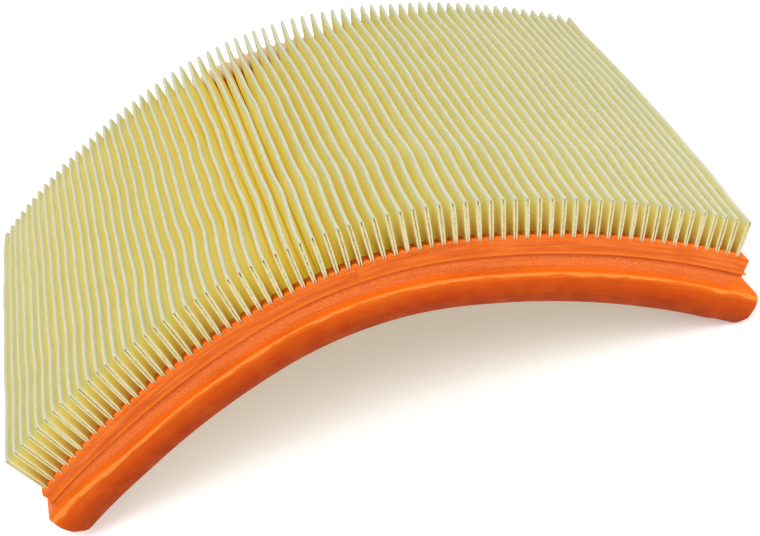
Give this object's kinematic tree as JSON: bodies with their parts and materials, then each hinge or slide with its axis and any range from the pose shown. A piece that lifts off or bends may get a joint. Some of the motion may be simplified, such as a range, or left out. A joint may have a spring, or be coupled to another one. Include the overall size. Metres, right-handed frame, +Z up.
{
  "type": "arched panel air filter",
  "caption": "Arched panel air filter: a folded paper pleat pack with glued pleat edges, cast into a soft orange polyurethane frame with a sealing lip all round.",
  "frame": {"origin": "middle of the footprint, on the plane the two end feet of the arch stand on", "axes": "+X along the chord of the arch, +Y along the pleats towards the rear rail, +Z up through the crown"},
  "size_m": [0.25, 0.1696, 0.0819],
  "materials": {
    "filter_paper": "matt pale yellow resin-treated paper",
    "hot_melt": "off-white hot-melt glue",
    "polyurethane": "satin orange moulded polyurethane"
  },
  "bodies": {
    "root": {"pleated_media": "filter_paper", "front_edge_beads": "hot_melt", "rear_edge_beads": "hot_melt", "seal_frame": "polyurethane"}
  },
  "joints": []
}
